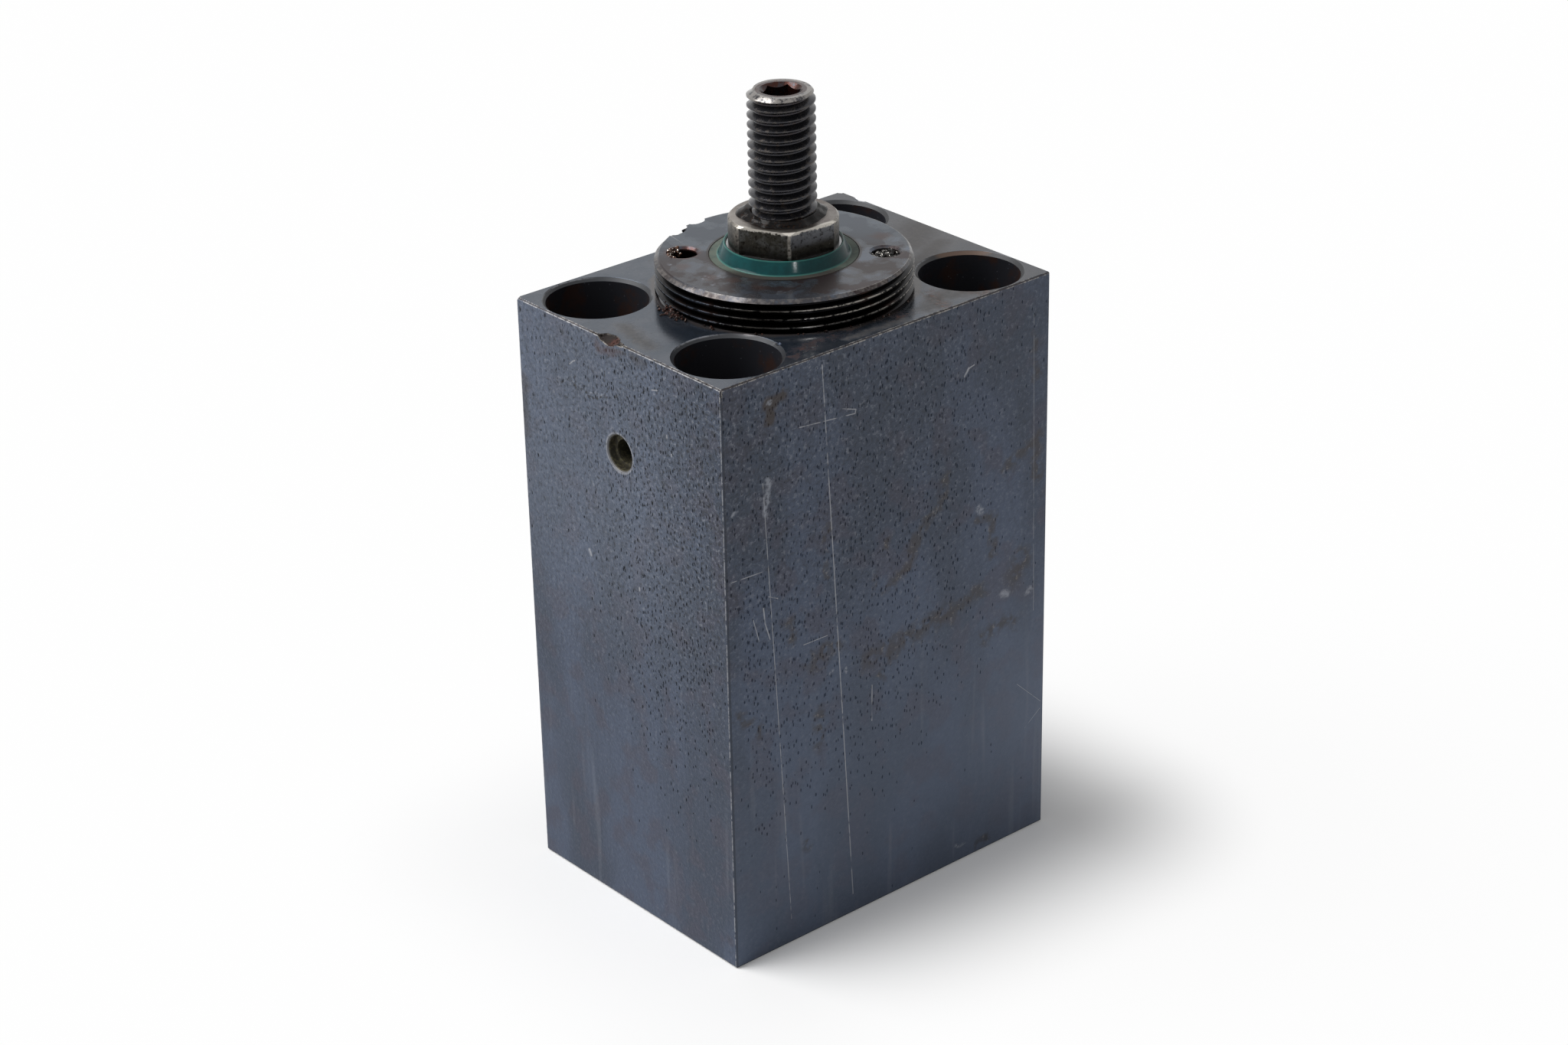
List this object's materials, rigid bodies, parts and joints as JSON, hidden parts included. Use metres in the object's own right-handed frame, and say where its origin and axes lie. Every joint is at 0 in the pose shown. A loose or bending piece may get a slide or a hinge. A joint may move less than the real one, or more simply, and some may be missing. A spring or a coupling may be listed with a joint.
{
  "type": "hydraulic block cylinder",
  "caption": "Compact steel block cylinder with counterbored screw holes, a screwed-in guide gland, a green wiper and a threaded stud in the end of its sliding piston rod.",
  "frame": {"origin": "centre of the block's base face", "axes": "+Z along the piston rod, out of the gland; +X along the block's long side"},
  "size_m": [0.075, 0.055, 0.1465],
  "materials": {
    "block_steel": "oil-blued steel, pitted and scratched",
    "gland_steel": "worn black-oxide steel with rust tints",
    "rod_steel": "hard-chromed shaft, bare worn end",
    "stud_steel": "oily black-oxide steel",
    "piston_steel": "turned steel",
    "nut_steel": "zinc-plated steel",
    "wiper_rubber": "green cast polyurethane, translucent",
    "seal_rubber": "polyurethane",
    "ring_rubber": "nitrile rubber",
    "guide_plastic": "bronze-filled plastic strip",
    "backup_plastic": "hard white plastic"
  },
  "bodies": {
    "housing": {"cylinder_block": "block_steel", "gland": "gland_steel", "rod_wiper": "wiper_rubber", "rod_seal": "seal_rubber", "rod_seal_filler_ring": "ring_rubber", "rod_seal_backup_ring": "backup_plastic", "upper_rod_guide": "guide_plastic", "lower_rod_guide": "guide_plastic", "gland_seal_ring": "ring_rubber", "gland_backup_ring": "backup_plastic"},
    "piston_rings": {"upper_piston_guide": "guide_plastic", "lower_piston_guide": "guide_plastic", "piston_glide_ring": "guide_plastic", "glide_pressing_ring": "ring_rubber"},
    "rod": {"piston_rod": "rod_steel", "threaded_stud": "stud_steel", "piston": "piston_steel", "spigot_seal_ring": "ring_rubber", "piston_nut": "nut_steel", "nut_locking_ring": "backup_plastic"}
  },
  "joints": [
    {"name": "rod_slide", "type": "slide", "parent": "housing", "child": "piston_rings", "axis": [0, 0, 1], "range_m": [0, 0.05]},
    {"name": "rod_turn", "type": "hinge", "parent": "piston_rings", "child": "rod", "pos_m": [0, 0, 0.124], "axis": [0, 0, 1], "continuous": true}
  ]
}
